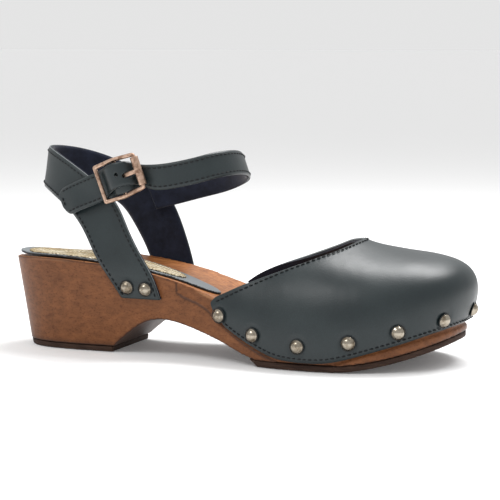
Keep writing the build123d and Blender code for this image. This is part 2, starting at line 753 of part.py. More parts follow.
def vamp_nail_places():
    """Where each vamp nail meets the leather, with its axis along the surface normal."""
    surface = rib_point()
    last = len(VAMP_RIBS) - 1
    outer = shifted(surface, 0.06, (0, last), (0, 1))
    places = []
    for s, height in VAMP_NAILS:
        low = 0.0
        high = 0.9
        for _ in range(40):
            t = (low + high) / 2
            if surface(s, t)[2] < height:
                low = t
            else:
                high = t
        seat = outer(s, low)
        inner = surface(s, low)
        normal = subtract(seat, inner)
        places.append(Plane(origin=tuple(seat), z_dir=tuple(normal)).location)
    return places


def strap_nail_places():
    """Where the heel strap nails meet the leather on both sides of the heel."""
    surface = band(heel_rows())
    last = len(HEEL_STRAP) - 1
    places = []
    for spots, start in ((HEEL_STRAP_NAILS, 0.0), (HEEL_STRAP_NAILS_INNER, last - 1.6)):
        for x, z in spots:
            best = None
            for i in range(81):
                for j in range(41):
                    s = start + 1.6 * i / 80
                    t = j / 40
                    point = surface(s, t)
                    miss = (point[0] - x) ** 2 + (point[2] - z) ** 2
                    if best is None or miss < best[0]:
                        best = (miss, s, t)
            seat = shifted(surface, LEATHER + 0.06, (0, last), (0, 1))(best[1], best[2])
            root = surface(best[1], best[2])
            normal = subtract(seat, root)
            places.append(Plane(origin=tuple(seat), z_dir=tuple(normal)).location)
    return places


def save(shape, node):
    export_step(shape, f"parts/{node}.step")


def main():
    os.makedirs("parts", exist_ok=True)
    vamp_places = vamp_nail_places()
    strap_places = strap_nail_places()
    vamp_holes = [nail_hole(place, VAMP_NAIL_LENGTH) for place in vamp_places]
    strap_holes = [nail_hole(place, STRAP_NAIL_LENGTH) for place in strap_places]

    wood = make_wood()
    for hole in vamp_holes + strap_holes:
        wood = wood - hole
    save(wood, "wooden_sole")
    save(make_tread(), "forefoot_tread")
    save(make_heel_rubber(), "heel_top_piece")
    save(make_pad(SOCK_OUTLINE, 0.08, 0.08 + SOCK_THICKNESS), "insole_sock")
    patch_low = 0.08 + SOCK_THICKNESS + 0.08
    save(make_pad(PATCH_OUTLINE, patch_low, patch_low + PATCH_THICKNESS), "woven_patch")

    leather = make_vamp_leather()
    lining = make_vamp_lining()
    for hole in vamp_holes:
        leather = leather - hole
        lining = lining - hole
    save(leather, "vamp_leather")
    save(lining, "vamp_lining")
    for i, place in enumerate(vamp_places):
        save(nail(place, VAMP_NAIL_LENGTH), f"vamp_nail_{i + 1:02d}")

    last = len(HEEL_STRAP) - 1
    strap = shell(band(heel_rows()), (0, last), (0, 1), 0.0, LEATHER, 64, 4)
    inside = shell(band(heel_rows()), (0, last), (0, 1), -LINING, -STRAP_LINING_GAP, 64, 4)
    foot = below_flex(strap)
    foot_lining = below_flex(inside)
    for hole in strap_holes:
        foot = foot - hole
        foot_lining = foot_lining - hole
    outer_half = Pos(0, -60, 40) * Box(300, 120, 200)
    inner_half = Pos(0, 60, 40) * Box(300, 120, 200)
    save(foot & outer_half, "strap_foot_outer")
    save(foot & inner_half, "strap_foot_inner")
    save(foot_lining & outer_half, "strap_foot_lining_outer")
    save(foot_lining & inner_half, "strap_foot_lining_inner")
    save(above_flex(strap), "heel_strap")
    save(above_flex(inside), "heel_strap_lining")
    for i, place in enumerate(strap_places):
        save(nail(place, STRAP_NAIL_LENGTH), f"strap_nail_{i + 1:02d}")

    save(make_ankle_leather(), "ankle_strap")
    save(make_ankle_lining(), "ankle_strap_lining")
    save(make_tab(), "buckle_tab")
    save(make_frame(), "buckle_frame")
    save(make_prong(), "buckle_prong")
    save(make_roller(), "buckle_roller")


main()
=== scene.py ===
"""Looks of the wooden clog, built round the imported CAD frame. Row frame, metres."""

import math

import bmesh
import bpy
import numpy as np
from mathutils import Matrix, Vector


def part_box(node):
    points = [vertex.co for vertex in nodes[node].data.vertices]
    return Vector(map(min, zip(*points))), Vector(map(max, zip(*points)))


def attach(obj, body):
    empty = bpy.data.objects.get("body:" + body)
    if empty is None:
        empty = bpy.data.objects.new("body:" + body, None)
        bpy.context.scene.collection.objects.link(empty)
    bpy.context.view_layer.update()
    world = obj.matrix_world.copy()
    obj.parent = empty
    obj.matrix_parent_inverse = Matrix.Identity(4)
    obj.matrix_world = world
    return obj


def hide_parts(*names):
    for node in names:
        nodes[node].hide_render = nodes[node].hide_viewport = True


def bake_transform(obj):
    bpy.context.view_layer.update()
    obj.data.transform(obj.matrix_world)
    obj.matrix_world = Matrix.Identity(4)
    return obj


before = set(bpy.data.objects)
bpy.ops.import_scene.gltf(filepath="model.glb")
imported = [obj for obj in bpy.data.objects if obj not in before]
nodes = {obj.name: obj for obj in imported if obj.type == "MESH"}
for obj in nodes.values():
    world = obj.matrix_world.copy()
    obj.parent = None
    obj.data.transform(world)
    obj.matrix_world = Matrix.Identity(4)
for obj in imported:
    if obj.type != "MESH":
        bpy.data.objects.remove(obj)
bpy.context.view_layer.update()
MM = 0.001
rng = np.random.default_rng(7)

# ---- strap and vamp shapes, in millimetres, as in the CAD part ----
LEATHER = 1.5
LINING = 0.9
GAP = 0.06
# Front edge point and rear edge point of each station, from the outer foot to the inner.
HEEL_STRAP = [
    ((60.4, -33.0, 29.8), (38.6, -32.1, 30.0)),
    ((56.4, -34.45, 41.5), (31.4, -34.0, 41.5)),
    ((50.4, -34.4, 51.5), (25.2, -34.0, 50.5)),
    ((42.6, -33.4, 65.0), (18.8, -32.4, 61.8)),
    ((34.6, -31.4, 78.6), (10.6, -29.4, 71.4)),
    ((19.6, -28.2, 90.6), (-0.2, -23.2, 78.0)),
    ((4.4, -21.6, 98.4), (-9.8, -14.6, 82.0)),
    ((-8.2, -12.0, 103.0), (-15.4, -7.2, 83.6)),
    ((-14.4, 0.0, 104.6), (-17.2, 0.0, 84.2)),
    ((-8.2, 12.0, 103.4), (-15.4, 7.2, 83.8)),
    ((4.4, 21.6, 99.2), (-9.8, 14.6, 82.4)),
    ((19.6, 27.4, 91.8), (-0.2, 22.8, 79.0)),
    ((35.2, 30.6, 80.4), (10.6, 28.6, 72.6)),
    ((43.6, 32.2, 66.4), (17.4, 31.4, 63.0)),
    ((48.6, 32.8, 52.0), (23.6, 32.9, 51.0)),
    ((52.2, 32.2, 40.0), (28.4, 32.9, 40.0)),
    ((55.0, 30.0, 28.2), (34.4, 30.6, 28.4)),
]
# Height of the wood's upper edge every EDGE_STEP from EDGE_START.
EDGE_START = -60.0
EDGE_STEP = 20.0
EDGE_HEIGHT = [
    49.2, 48.9, 48.3, 47.6, 46.2, 44.0, 40.6, 34.9,
    28.0, 23.4, 21.6, 22.6, 26.2, 31.4, 37.2, 42.6,
]
FOOTBED_TILT = 0.035
# The step in the wood's side that the vamp stands on: x and z.
REBATE_PATH = [
    (68.5, 33.6), (73.5, 31.0), (80.0, 29.0), (86.0, 26.0), (92.0, 21.0), (100.0, 15.2),
    (108.0, 10.6), (117.0, 6.4), (128.0, 2.6), (142.0, 1.6), (154.0, 2.6),
]
PATCH_OUTLINE = [
    (-27.0, 0.0), (-24.0, -11.0), (-13.0, -21.0), (10.0, -26.0), (40.0, -26.6),
    (60.0, -26.0), (68.5, -21.0), (65.0, -12.0), (54.0, -3.0), (40.0, 6.0),
    (22.0, 14.0), (2.0, 17.4), (-14.0, 15.4), (-24.0, 9.0),
]
PATCH_LOW = 1.56
PATCH_HIGH = 2.26
# The footbed's cup: its depth and half width change along x round a middle, over a span.
CUP_DEPTH_HEEL = 2.6
CUP_DEPTH_FRONT = 1.2
CUP_DEPTH_MIDDLE = 65.0
CUP_DEPTH_SPAN = 30.0
CUP_HALF_WIDTH_HEEL = 32.0
CUP_HALF_WIDTH_GAIN = 14.0
CUP_WIDTH_MIDDLE = 95.0
CUP_WIDTH_SPAN = 25.0
BUCKLE_AT = (40.4, -38.6, 91.3)
BUCKLE_TURN = math.radians(20.5)
BUCKLE_COS = math.cos(BUCKLE_TURN)
BUCKLE_SIN = math.sin(BUCKLE_TURN)
# Holes in the ankle strap on the buckle: u, v, w, length, width.
SPARE_HOLE = (0.4, 1.7, 4.0, 2.1, 2.1)
PRONG_SLOT = (5.6, -0.1, 1.4, 5.4, 2.9)
# The ankle strap where it runs through the buckle: u, lower v, upper v, w.
THREADED = [
    (-15.2, -7.9, 6.9, -3.5),
    (-11.1, -6.8, 7.1, -3.7),
    (-7.4, -5.6, 7.4, -1.7),
    (-4.0, -4.9, 7.7, 1.2),
    (0.0, -4.7, 7.9, 2.2),
    (3.6, -5.0, 7.4, 1.6),
    (6.3, -6.0, 6.2, -1.4),
    (8.6, -7.7, 4.6, -4.3),
    (12.0, -10.0, 2.7, -5.0),
]
# Upper edge point and lower edge point of each station of the free tail, tip first.
TAIL = [
    ((0.8, -25.5, 82.5), (8.2, -30.4, 70.2)),
    ((6.4, -28.2, 85.2), (12.9, -32.6, 72.1)),
    ((12.6, -30.8, 87.9), (18.4, -34.2, 74.4)),
]
# The same for the part that goes round the ankle, from the buckle on.
WRAP = [
    ((59.0, -34.2, 98.3), (61.0, -34.3, 85.4)),
    ((68.0, -33.2, 99.6), (70.6, -33.5, 86.9)),
    ((77.6, -30.4, 101.8), (80.4, -30.9, 89.2)),
    ((84.2, -25.4, 103.8), (87.4, -26.1, 91.3)),
    ((88.8, -17.4, 104.6), (92.4, -18.1, 92.4)),
    ((90.6, -7.4, 104.2), (94.4, -7.8, 92.1)),
    ((89.6, 3.4, 102.4), (93.6, 3.4, 90.3)),
    ((85.6, 13.2, 99.4), (90.0, 13.4, 87.4)),
    ((78.4, 20.8, 95.8), (82.8, 21.2, 84.0)),
    ((68.6, 25.6, 92.2), (73.0, 26.0, 80.4)),
    ((55.0, 28.0, 88.4), (59.6, 28.4, 76.8)),
    ((41.0, 28.2, 84.6), (45.6, 28.9, 73.0)),
    ((28.4, 26.6, 81.4), (33.0, 27.6, 69.8)),
]
VAMP_LEATHER = 1.8
VAMP_STAND = 1.4
VAMP_ROWS = 40
STRAP_ROWS = 14
# Where a strap or the vamp narrows to its rounded tip, in station numbers.
TAIL_TIP = 0.95
TAIL_BODY = 0.97
VAMP_TIP = 0.55
VAMP_BODY = 0.57
# The leather pressed down round a nail.
DENT_RADIUS = 3.9
DENT_DEPTH = 0.55
DENT_WIDTH = 1.1
NAIL_HEAD_HEIGHT = 2.3
STITCH_PITCH = 2.8
STITCH_LENGTH = 2.1
STITCH_RADIUS = 0.33
STITCH_BOW = 0.30
STITCH_SINK = 0.08
# Foot x, y, z and top x, y, z of each rib, then its three control points in between:
# rise and bulge of the lower one, bulge and height of the middle one, reach and height
# of the upper one.
VAMP_RIBS = [
    (90.6, -37.0, 24.6, 88.0, -36.8, 31.6, 2.0, 0.1, 0.6, 28.2, 0.3, 30.2),
    (98.0, -38.9, 18.4, 96.4, -38.4, 35.4, 4.0, 0.1, 1.1, 26.4, 0.8, 31.4),
    (107.0, -41.4, 13.2, 105.6, -38.0, 39.8, 7.0, 0.2, 1.5, 28.0, 1.8, 34.6),
    (116.5, -44.0, 8.8, 114.6, -36.2, 43.6, 10.0, 0.2, 1.9, 30.4, 3.6, 38.8),
    (127.0, -46.3, 5.4, 124.2, -33.8, 47.4, 13.0, 0.1, 2.0, 32.6, 6.2, 43.4),
    (139.0, -47.7, 4.3, 134.0, -30.4, 51.2, 14.5, 0.3, 2.6, 34.6, 9.0, 47.4),
    (152.0, -47.5, 4.7, 142.6, -25.4, 54.6, 15.5, 0.4, 3.0, 37.4, 12.6, 50.0),
    (165.0, -45.5, 7.6, 149.0, -18.8, 57.2, 16.0, 0.5, 3.2, 42.0, 16.0, 50.8),
    (177.0, -41.4, 11.2, 153.0, -11.6, 59.0, 16.5, 0.8, 3.4, 47.6, 19.6, 50.4),
    (188.0, -34.9, 14.6, 155.0, -5.4, 60.2, 17.0, 1.8, 5.4, 52.0, 22.4, 49.4),
    (197.2, -27.0, 17.6, 156.0, -0.6, 60.8, 17.0, 4.6, 8.0, 56.8, 24.4, 48.6),
    (204.4, -16.2, 19.8, 156.2, 2.6, 61.0, 17.0, 6.6, 9.8, 61.2, 25.4, 48.4),
    (208.2, -3.0, 20.8, 156.0, 5.0, 61.0, 17.0, 8.0, 10.8, 63.6, 25.4, 48.8),
    (208.6, 10.0, 20.8, 155.2, 7.4, 61.0, 17.0, 8.0, 10.4, 63.4, 24.6, 49.2),
    (204.6, 22.6, 19.6, 153.6, 10.4, 60.8, 17.0, 6.2, 8.8, 61.0, 22.8, 49.8),
    (195.0, 34.2, 17.0, 150.4, 14.6, 60.2, 17.0, 4.0, 6.2, 56.2, 20.4, 50.8),
    (181.5, 42.3, 12.8, 144.6, 19.8, 58.8, 16.5, 1.8, 4.2, 50.0, 17.0, 51.8),
    (167.0, 46.0, 8.4, 136.6, 24.4, 55.6, 16.0, 0.6, 3.2, 44.0, 13.0, 51.2),
    (152.0, 45.7, 4.9, 127.4, 28.2, 52.0, 15.0, 0.4, 3.0, 38.4, 9.4, 48.8),
    (136.0, 42.9, 4.6, 117.6, 30.6, 48.4, 13.0, 0.2, 2.4, 34.4, 6.0, 45.4),
    (122.0, 38.8, 7.4, 108.0, 32.0, 44.8, 10.0, 0.2, 2.1, 31.6, 3.4, 40.8),
    (108.0, 34.4, 12.6, 98.6, 31.8, 41.0, 7.0, 0.2, 1.5, 28.8, 1.8, 36.2),
    (97.0, 31.5, 18.6, 90.6, 30.8, 37.0, 4.0, 0.1, 1.2, 27.6, 0.8, 33.2),
    (89.0, 29.8, 26.2, 84.8, 29.8, 33.0, 2.0, 0.1, 0.7, 29.0, 0.3, 31.4),
]


def natural_spline(rows):
    """Smooth function of the row number (an array) through rows of numbers."""
    rows = np.asarray(rows, float)
    count = len(rows)
    system = np.eye(count) * 4.0
    system[0, 0] = system[-1, -1] = 1.0
    right = np.zeros_like(rows)
    for i in range(1, count - 1):
        system[i, i - 1] = system[i, i + 1] = 1.0
        right[i] = 6.0 * (rows[i + 1] - 2.0 * rows[i] + rows[i - 1])
    bend = np.linalg.solve(system, right)

    def at(position):
        position = np.asarray(position, float)
        i = np.clip(position.astype(int), 0, count - 2)
        t = (position - i)[..., None]
        r = 1.0 - t
        line = r * rows[i] + t * rows[i + 1]
        return line + ((r**3 - r) * bend[i] + (t**3 - t) * bend[i + 1]) / 6.0

    return at


def band_surface(rows):
    """Strap surface: t = 1 is the first point of each row, t = 0 the second."""
    upper = natural_spline([row[0] for row in rows])
    lower = natural_spline([row[1] for row in rows])

    def at(s, t):
        t = np.asarray(t, float)[..., None]
        return lower(s) * (1.0 - t) + upper(s) * t

    return at


def vamp_surface():
    """Outer face of the vamp by rib number and height share."""
    smooth = natural_spline(VAMP_RIBS)
    last_rib = len(VAMP_RIBS) - 1.0

    def at(s, t):
        s = np.asarray(s, float)
        row = smooth(s)
        ahead = smooth(np.minimum(s + 0.02, last_rib))
        along = ahead - smooth(np.maximum(s - 0.02, 0.0))
        out = np.stack([along[..., 1], -along[..., 0]], -1)
        out /= np.linalg.norm(out, axis=-1, keepdims=True)
        base = row[..., 0:2]
        top = row[..., 3:5]
        rib = base - top
        rib /= np.linalg.norm(rib, axis=-1, keepdims=True)

        def point(flat, height):
            return np.concatenate([flat, height[..., None]], -1)

        controls = [
            point(base + out * VAMP_STAND, row[..., 2]),
            point(base + out * (VAMP_STAND + row[..., 7:8]), row[..., 2] + row[..., 6]),
            point(base + out * (VAMP_STAND + row[..., 8:9]), row[..., 9]),
            point(top + rib * row[..., 10:11], row[..., 11]),
            point(top, row[..., 5]),
        ]
        t = np.asarray(t, float)[..., None]
        r = 1.0 - t
        weights = [r**4, 4 * r**3 * t, 6 * r**2 * t**2, 4 * r * t**3, t**4]
        return sum(w * c for w, c in zip(weights, controls))

    return at


def normals(surface, s, t, s_last):
    """Outward unit normals of a surface."""
    ds = 0.01
    dt = 0.01
    along = surface(np.minimum(s + ds, s_last), t) - surface(np.maximum(s - ds, 0.0), t)
    across = surface(s, np.minimum(t + dt, 1.0)) - surface(s, np.maximum(t - dt, 0.0))
    n = np.cross(along, across)
    return n / np.linalg.norm(n, axis=-1, keepdims=True)


def new_object(name, points, faces, materials, face_slots=None):
    mesh = bpy.data.meshes.new(name)
    mesh.from_pydata([tuple(p) for p in points], [], faces)
    for material in materials:
        mesh.materials.append(material)
    if face_slots is not None:
        mesh.polygons.foreach_set("material_index", np.asarray(face_slots, np.int32))
    mesh.polygons.foreach_set("use_smooth", np.ones(len(mesh.polygons), bool))
    mesh.update()
    thing = bpy.data.objects.new(name, mesh)
    bpy.context.scene.collection.objects.link(thing)
    return thing


def ring_faces(rings, around):
    """Quads between closed rings of points that follow each other."""
    faces = []
    for k in range(rings - 1):
        here = k * around
        ahead = here + around
        for i in range(around):
            j = (i + 1) % around
            faces.append((here + i, ahead + i, ahead + j, here + j))
    return faces


def fan_faces(ring, around, tip_point, flip):
    """Triangles that close one ring at a point."""
    faces = []
    for i in range(around):
        first = ring * around + i
        second = ring * around + (i + 1) % around
        faces.append((tip_point, second, first) if flip else (tip_point, first, second))
    return faces


def applied_mesh(thing):
    """Mesh of an object with its modifiers applied; the modifiers are removed."""
    bpy.context.view_layer.update()
    graph = bpy.context.evaluated_depsgraph_get()
    mesh = bpy.data.meshes.new_from_object(thing.evaluated_get(graph))
    thing.modifiers.clear()
    return mesh


def noise_field(points, scale, seed):
    """Smooth pseudo-random field of points in millimetres."""
    local = np.random.default_rng(seed)
    total = np.zeros(points.shape[:-1])
    for _ in range(7):
        direction = local.normal(size=3)
        direction /= np.linalg.norm(direction)
        wave = scale * local.uniform(0.7, 1.5)
        total += np.sin(points @ direction * 2 * math.pi / wave + local.uniform(0, 6.28))
    return total / 7.0


def leather_sheet(
    name, surface, s_values, s_last, low, high, materials, ends,
    wrinkle, seed, rows=STRAP_ROWS, dents=(), sway=0.0,
):
    """Closed leather sheet with rounded edges.

    ends gives the edge shares per station, and dents the nail seats pressed into it.
    """
    round_off = min(0.45, (high - low) * 0.42)
    section = []
    for k in range(rows + 1):
        section.append((k / rows, "out"))
    for a in (0.25, 0.5, 0.75):
        section.append((1.0, a))
    for k in range(rows, -1, -1):
        section.append((k / rows, "in"))
    for a in (0.75, 0.5, 0.25):
        section.append((0.0, a))
    points = []
    is_edge = [side not in ("out", "in") for _, side in section]
    s_grid = np.asarray(s_values, float)
    low_t, high_t = ends(s_grid)
    for share, side in section:
        t = low_t + (high_t - low_t) * share
        base = surface(s_grid, t)
        n = normals(surface, s_grid, t, s_last)
        rounded = round_off if min(share, 1.0 - share) * rows < 0.5 else 0.0
        if side == "out":
            depth = high - rounded
        elif side == "in":
            depth = low + rounded
        else:
            inward = 1.0 - side if share < 0.5 else side
            depth = high - round_off - (high - low - 2 * round_off) * inward
        p = base + n * depth
        ripple = noise_field(p, 17.0, seed) * wrinkle
        ripple = ripple + noise_field(p, 6.0, seed + 1) * wrinkle * 0.35
        ripple += (noise_field(p, 42.0, seed + 2) - 0.5) * sway
        p = p + n * ripple[..., None]
        for seat in dents:
            r = np.linalg.norm(base - np.asarray(seat), axis=-1)
            press = DENT_DEPTH * np.exp(-(((r - DENT_RADIUS) / DENT_WIDTH) ** 2))
            p = p - n * press[..., None]
        points.append(p)
    stack = np.stack(points, 1)
    count, ring = stack.shape[0], stack.shape[1]
    flat = stack.reshape(-1, 3) * MM
    faces = ring_faces(count, ring)
    slots = [int(is_edge[j] or is_edge[(j + 1) % ring]) for j in range(ring)] * (count - 1)
    faces.append(tuple(range(ring)))
    faces.append(tuple((count - 1) * ring + j for j in range(ring - 1, -1, -1)))
    slots += [1, 1]
    return new_object(name, flat, faces, materials, slots)


def stitch_run(name, path, out):
    """Row of separate thread stitches along a path of points with outward directions."""
    steps = np.linalg.norm(np.diff(path, axis=0), axis=1)
    distance = np.concatenate([[0.0], np.cumsum(steps)])
    points = []
    faces = []
    count = int(distance[-1] / STITCH_PITCH)
    rings = 7
    sides = 6
    for i in range(count):
        centre = (i + 0.5) * STITCH_PITCH
        jitter = rng.uniform(-0.1, 0.1)
        shares = np.linspace(-0.5, 0.5, rings)
        spots = np.clip(centre + jitter + shares * STITCH_LENGTH, 0, distance[-1])
        mid = np.stack([np.interp(spots, distance, path[:, a]) for a in range(3)], -1)
        away = np.stack([np.interp(spots, distance, out[:, a]) for a in range(3)], -1)
        away /= np.linalg.norm(away, axis=1, keepdims=True)
        tangent = mid[-1] - mid[0]
        tangent /= np.linalg.norm(tangent)
        lean = rng.uniform(-0.06, 0.06)
        first = len(points)
        for k in range(rings):
            bow = 1.0 - (2 * shares[k]) ** 2
            side = np.cross(away[k], tangent)
            side /= np.linalg.norm(side)
            centre_point = mid[k] + away[k] * (bow * STITCH_BOW - STITCH_SINK)
            centre_point = centre_point + side * (lean * shares[k] * STITCH_LENGTH)
            size = STITCH_RADIUS * math.sqrt(max(1.0 - (2 * shares[k]) ** 6, 0.02))
            for m in range(sides):
                angle = 2 * math.pi * m / sides
                spoke = math.cos(angle) * side + math.sin(angle) * away[k]
                points.append(centre_point + size * spoke)
        for k in range(rings - 1):
            for m in range(sides):
                a = first + k * sides + m
                b = first + k * sides + (m + 1) % sides
                faces.append((a, b, b + sides, a + sides))
    return new_object(name, np.asarray(points) * MM, faces, [thread])


# ---- materials ----
def material(name, color, roughness, metallic=0.0, specular=0.5, sheen=0.0):
    made = bpy.data.materials.new(name)
    made.use_nodes = True
    shader = made.node_tree.nodes["Principled BSDF"]
    shader.inputs["Base Color"].default_value = (*color, 1)
    shader.inputs["Roughness"].default_value = roughness
    shader.inputs["Metallic"].default_value = metallic
    shader.inputs["Specular IOR Level"].default_value = specular
    shader.inputs["Sheen Weight"].default_value = sheen
    return made, shader


def coordinates(tree, scale=(1, 1, 1)):
    """Object coordinates in millimetres, stretched by scale."""
    place = tree.nodes.new("ShaderNodeTexCoord")
    mapping = tree.nodes.new("ShaderNodeMapping")
    mapping.inputs["Scale"].default_value = [1000 * value for value in scale]
    tree.links.new(place.outputs["Object"], mapping.inputs["Vector"])
    return mapping.outputs["Vector"]


def noise(tree, vector, scale, detail=4.0, rough=0.55):
    node = tree.nodes.new("ShaderNodeTexNoise")
    node.inputs["Scale"].default_value = scale
    node.inputs["Detail"].default_value = detail
    node.inputs["Roughness"].default_value = rough
    tree.links.new(vector, node.inputs["Vector"])
    return node.outputs["Fac"]


def attribute(tree, name):
    """Share painted on the mesh's points."""
    node = tree.nodes.new("ShaderNodeAttribute")
    node.attribute_name = name
    return node.outputs["Fac"]


def ramp(tree, value, stops):
    node = tree.nodes.new("ShaderNodeValToRGB")
    elements = node.color_ramp.elements
    while len(elements) < len(stops):
        elements.new(0.5)
    for element, (where, color) in zip(elements, stops):
        element.position = where
        element.color = (*color, 1)
    tree.links.new(value, node.inputs["Fac"])
    return node.outputs["Color"]


def bump(tree, shader, heights):
    """Chain of bumps: (height output, strength, distance)."""
    last = None
    for height, strength, distance in heights:
        node = tree.nodes.new("ShaderNodeBump")
        node.inputs["Strength"].default_value = strength
        node.inputs["Distance"].default_value = distance
        tree.links.new(height, node.inputs["Height"])
        if last is not None:
            tree.links.new(last, node.inputs["Normal"])
        last = node.outputs["Normal"]
    tree.links.new(last, shader.inputs["Normal"])


def mix(tree, share, first, second, kind="MIX"):
    node = tree.nodes.new("ShaderNodeMix")
    node.data_type = "RGBA"
    node.blend_type = kind
    if hasattr(share, "links"):
        tree.links.new(share, node.inputs["Factor"])
    else:
        node.inputs["Factor"].default_value = share
    tree.links.new(first, node.inputs[6])
    tree.links.new(second, node.inputs[7])
    return node.outputs[2]


def leather_material(name, dark, light, rough):
    made, shader = material(name, dark, 0.45, specular=0.46)
    tree = made.node_tree
    vector = coordinates(tree)
    cloud = noise(tree, vector, 0.035, 5)
    fine = noise(tree, vector, 1.4, 3)
    color = ramp(tree, cloud, [(0.3, dark), (0.72, light)])
    speck = ramp(tree, fine, [(0.35, (0.86, 0.86, 0.86)), (0.65, (1.08, 1.08, 1.08))])
    tree.links.new(mix(tree, 1.0, color, speck, "MULTIPLY"), shader.inputs["Base Color"])
    low, high = rough
    shine = ramp(tree, cloud, [(0.3, (low,) * 3), (0.7, (high,) * 3)])
    tree.links.new(shine, shader.inputs["Roughness"])
    cells = tree.nodes.new("ShaderNodeTexVoronoi")
    cells.inputs["Scale"].default_value = 1.5
    tree.links.new(vector, cells.inputs["Vector"])
    bump(tree, shader, [(cells.outputs["Distance"], 0.12, 0.0002), (fine, 0.10, 0.0002)])
    return made


def suede_material(name, dark, light):
    made, shader = material(name, dark, 0.95, specular=0.15, sheen=0.25)
    tree = made.node_tree
    vector = coordinates(tree)
    nap = noise(tree, vector, 0.16, 6, 0.65)
    fuzz = noise(tree, vector, 2.6, 3)
    tree.links.new(ramp(tree, nap, [(0.32, dark), (0.7, light)]), shader.inputs["Base Color"])
    bump(tree, shader, [(fuzz, 0.5, 0.0003)])
    return made


def wood_colour(tree, dark, light, fleck, stretch, span):
    """Colour and pore height of one stained wood face."""
    grain = noise(tree, coordinates(tree, stretch), 1.0, 6, 0.62)
    pores = noise(tree, coordinates(tree, [value * 3.5 for value in stretch]), 1.0, 3, 0.6)
    low, high = span
    color = ramp(tree, grain, [(low, dark), (high, light)])
    flecks = ramp(tree, pores, [(0.36, fleck), (0.47, (1, 1, 1))])
    return mix(tree, 1.0, color, flecks, "MULTIPLY"), pores


def wood_material():
    """Stained side and paler footbed, told apart by the attribute top.

    rim marks the paler band along the side's upper edge, and dark the painted shade in the
    hollows.
    """
    made, shader = material("wood", (0.3, 0.15, 0.07), 0.46, specular=0.22)
    tree = made.node_tree
    side, side_pores = wood_colour(
        tree, dark=(0.112, 0.040, 0.014), light=(0.212, 0.080, 0.029),
        fleck=(0.70, 0.64, 0.58), stretch=(0.22, 0.22, 0.42), span=(0.25, 0.75),
    )
    top, top_pores = wood_colour(
        tree, dark=(0.200, 0.066, 0.019), light=(0.450, 0.185, 0.062),
        fleck=(0.66, 0.56, 0.46), stretch=(0.014, 0.85, 0.85), span=(0.38, 0.62),
    )
    cloud = noise(tree, coordinates(tree), 0.03, 3)
    shade = ramp(tree, cloud, [(0.3, (0.78, 0.76, 0.74)), (0.7, (1.12, 1.12, 1.12))])
    both = mix(tree, attribute(tree, "top"), side, top)
    both = mix(tree, 1.0, both, shade, "MULTIPLY")
    patchy_tone = ramp(tree, cloud, [(0.3, (0.30, 0.14, 0.065)), (0.7, (0.44, 0.22, 0.105))])
    both = mix(tree, attribute(tree, "rim"), both, patchy_tone)
    # Painted shade: near-black brown for the hollows, under the vamp and at the heel's foot.
    painted_shade = ramp(tree, cloud, [(0.3, (0.030, 0.013, 0.008)), (0.7, (0.055, 0.024, 0.014))])
    both = mix(tree, attribute(tree, "dark"), both, painted_shade)
    tree.links.new(both, shader.inputs["Base Color"])
    bump(tree, shader, [(side_pores, 0.10, 0.0002), (top_pores, 0.10, 0.0002)])
    return made


def metal_material(name, bright, tarnish, roughness):
    made, shader = material(name, bright, roughness, metallic=1.0)
    tree = made.node_tree
    vector = coordinates(tree)
    cloud = noise(tree, vector, 0.34, 6, 0.65)
    scratch = noise(tree, coordinates(tree, (1.0, 1.0, 0.12)), 3.0, 3)
    color = ramp(tree, cloud, [(0.36, tarnish), (0.56, bright)])
    tree.links.new(color, shader.inputs["Base Color"])
    spread = [(0.3, (roughness + 0.2,) * 3), (0.7, (roughness - 0.05,) * 3)]
    tree.links.new(ramp(tree, cloud, spread), shader.inputs["Roughness"])
    bump(tree, shader, [(scratch, 0.10, 0.0001), (cloud, 0.08, 0.0003)])
    return made


def rubber_material():
    made, shader = material("rubber", (0.030, 0.018, 0.013), 0.72, specular=0.2)
    tree = made.node_tree
    vector = coordinates(tree)
    grit = noise(tree, vector, 1.2, 5)
    scuff = noise(tree, coordinates(tree, (0.1, 0.1, 1.0)), 1.2, 4)
    color = ramp(tree, scuff, [(0.35, (0.026, 0.013, 0.009)), (0.75, (0.060, 0.032, 0.021))])
    tree.links.new(color, shader.inputs["Base Color"])
    bump(tree, shader, [(grit, 0.35, 0.0003)])
    return made


def weave_material():
    """Cream and gold basket weave."""
    made, shader = material("woven", (0.80, 0.72, 0.56), 0.85, specular=0.15, sheen=0.1)
    tree = made.node_tree
    vector = coordinates(tree)
    bricks = tree.nodes.new("ShaderNodeTexBrick")
    bricks.inputs["Color1"].default_value = (0.84, 0.79, 0.66, 1)
    bricks.inputs["Color2"].default_value = (0.66, 0.57, 0.38, 1)
    bricks.inputs["Mortar"].default_value = (0.13, 0.09, 0.045, 1)
    bricks.inputs["Scale"].default_value = 1.0
    bricks.inputs["Mortar Size"].default_value = 0.26
    bricks.inputs["Mortar Smooth"].default_value = 0.4
    bricks.inputs["Brick Width"].default_value = 2.0
    bricks.inputs["Row Height"].default_value = 1.3
    tree.links.new(vector, bricks.inputs["Vector"])
    fibre = noise(tree, coordinates(tree, (0.4, 2.2, 1.0)), 1.0, 4, 0.6)
    cloud = noise(tree, vector, 0.09, 3)
    strands = ramp(tree, fibre, [(0.35, (0.74, 0.70, 0.62)), (0.6, (1.05, 1.05, 1.05))])
    patchy_tone = ramp(tree, cloud, [(0.40, (0.72, 0.64, 0.50)), (0.60, (1.10, 1.10, 1.10))])
    color = mix(tree, 1.0, bricks.outputs["Color"], strands, "MULTIPLY")
    tree.links.new(mix(tree, 1.0, color, patchy_tone, "MULTIPLY"), shader.inputs["Base Color"])
    bump(tree, shader, [(fibre, 0.3, 0.0003)])
    return made


